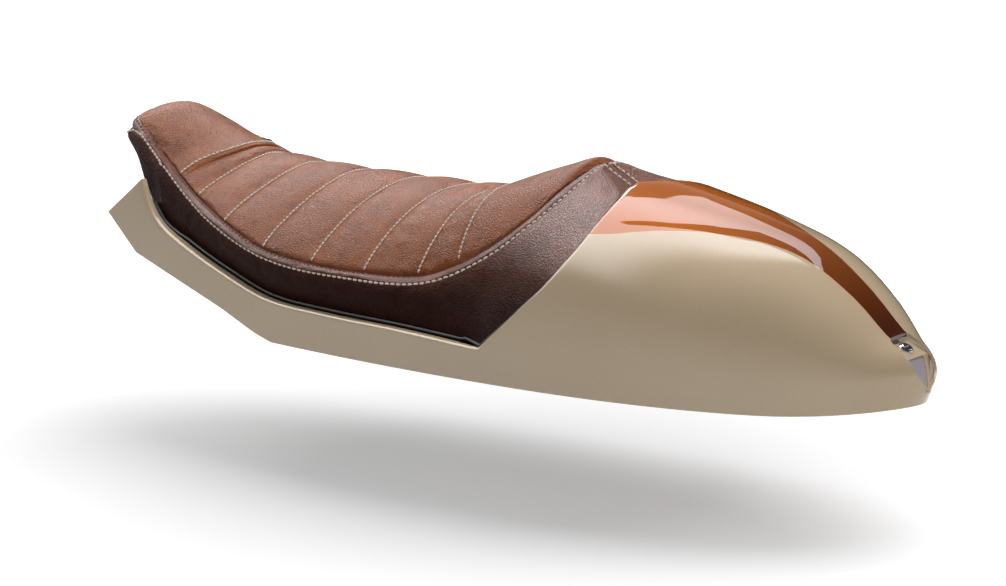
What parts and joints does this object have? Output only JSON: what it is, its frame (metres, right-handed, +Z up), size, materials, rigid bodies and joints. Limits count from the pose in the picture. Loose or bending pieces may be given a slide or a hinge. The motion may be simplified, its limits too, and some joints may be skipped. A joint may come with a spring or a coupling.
{
  "type": "motorcycle seat and tail unit",
  "caption": "Café racer seat and tail unit: a painted cowl with forward arms, a pleated leather pad with a rear stop, and a pointed tail with a small lamp under a quarter-turn fastener.",
  "frame": {"origin": "centre of the bounding box in plan, on the plane of the cowl's lower edge", "axes": "+X runs back along the unit to the tail, +Y to the side away from the viewer of the picture, +Z up out of the pad"},
  "size_m": [0.7735, 0.256, 0.1611],
  "materials": {
    "painted_laminate": "pearl beige paint with a copper band over the hump, clear-coated",
    "bare_laminate": "unpainted glass laminate",
    "black_plastic": "moulded, matt",
    "foam": "open-cell seat foam",
    "top_leather": "waxed brown leather with a fine grain",
    "side_leather": "dark brown leather, matt",
    "rubber": "black, matt",
    "steel": "zinc plated",
    "black_steel": "black powder coat",
    "polished_steel": "polished stainless steel",
    "lens": "smoked translucent lens",
    "board": "coated circuit board",
    "led_resin": "clear resin"
  },
  "bodies": {
    "seat": {"tail_shell": "painted_laminate", "seat_deck": "bare_laminate", "seat_pan": "black_plastic", "foam_core": "foam", "nose_cover": "top_leather", "pleated_cover": "top_leather", "stop_cover": "top_leather", "side_cover_left": "side_leather", "side_cover_right": "side_leather", "edge_seal": "rubber", "pan_studs": "steel", "pan_washers": "steel", "pan_nuts": "steel", "mount_inserts": "steel", "frame_bumpers": "rubber", "front_hook": "black_steel", "hook_bolts": "steel", "hook_nuts": "steel", "lamp_housing": "painted_laminate", "lamp_lens": "lens", "lamp_gasket": "rubber", "lamp_board": "board", "lamp_leds": "led_resin", "lamp_bracket": "steel", "cup_washer": "polished_steel", "receptacle": "steel", "receptacle_rivets": "steel"},
    "fastener": {"fastener_stud": "polished_steel", "retaining_ring": "rubber"}
  },
  "joints": [
    {"name": "fastener_turn", "type": "hinge", "parent": "seat", "child": "fastener", "pos_m": [0.3648, 0, 0.0457], "axis": [0.5, 0, 0.866], "range_deg": [0, 90]}
  ]
}
